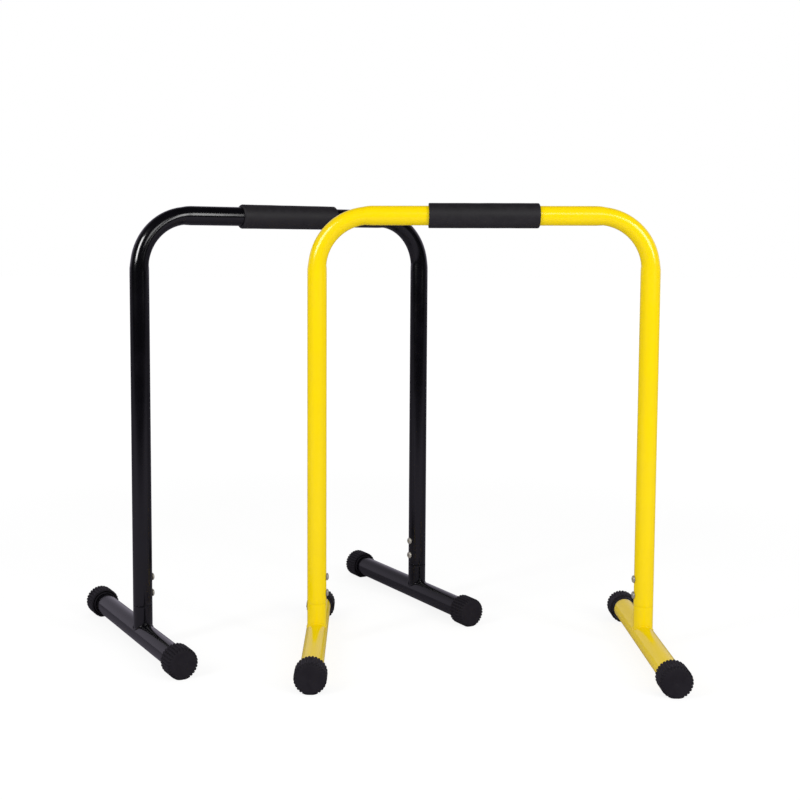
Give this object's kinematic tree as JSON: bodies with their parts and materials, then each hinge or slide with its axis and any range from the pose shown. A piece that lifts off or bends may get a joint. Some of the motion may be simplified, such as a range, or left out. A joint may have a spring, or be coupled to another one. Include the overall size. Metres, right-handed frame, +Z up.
{
  "type": "dip station",
  "caption": "Free-standing dip bars: bent-tube hoops with foam hand grips, bolted on T-shaped feet that rest on ribbed rubber end caps.",
  "frame": {"origin": "on the floor, under the middle of the pair's bounding box", "axes": "+X along the yellow bar from its left leg to its right leg, +Z up, +Y away from the viewer of the picture, towards the black bar"},
  "size_m": [1.0514, 0.7382, 0.7799],
  "materials": {
    "yellow_paint": "gloss",
    "black_paint": "gloss",
    "foam": "matte closed-cell foam",
    "rubber": "satin moulded rubber",
    "bare_steel": "drawn tube",
    "zinc_plated_steel": "bright zinc plate"
  },
  "bodies": {
    "root": {"yellow_frame_tube": "yellow_paint", "yellow_hand_grip": "foam", "yellow_left_foot_tube": "yellow_paint", "yellow_left_foot_stub": "yellow_paint", "yellow_left_spigot": "bare_steel", "yellow_left_outer_end_cap": "rubber", "yellow_left_inner_end_cap": "rubber", "yellow_left_lower_bolt": "zinc_plated_steel", "yellow_left_lower_nut": "zinc_plated_steel", "yellow_left_upper_bolt": "zinc_plated_steel", "yellow_left_upper_nut": "zinc_plated_steel", "yellow_right_foot_tube": "yellow_paint", "yellow_right_foot_stub": "yellow_paint", "yellow_right_spigot": "bare_steel", "yellow_right_outer_end_cap": "rubber", "yellow_right_inner_end_cap": "rubber", "yellow_right_lower_bolt": "zinc_plated_steel", "yellow_right_lower_nut": "zinc_plated_steel", "yellow_right_upper_bolt": "zinc_plated_steel", "yellow_right_upper_nut": "zinc_plated_steel", "black_frame_tube": "black_paint", "black_hand_grip": "foam", "black_left_foot_tube": "black_paint", "black_left_foot_stub": "black_paint", "black_left_spigot": "bare_steel", "black_left_outer_end_cap": "rubber", "black_left_inner_end_cap": "rubber", "black_left_lower_bolt": "zinc_plated_steel", "black_left_lower_nut": "zinc_plated_steel", "black_left_upper_bolt": "zinc_plated_steel", "black_left_upper_nut": "zinc_plated_steel", "black_right_foot_tube": "black_paint", "black_right_foot_stub": "black_paint", "black_right_spigot": "bare_steel", "black_right_outer_end_cap": "rubber", "black_right_inner_end_cap": "rubber", "black_right_lower_bolt": "zinc_plated_steel", "black_right_lower_nut": "zinc_plated_steel", "black_right_upper_bolt": "zinc_plated_steel", "black_right_upper_nut": "zinc_plated_steel"}
  },
  "joints": []
}
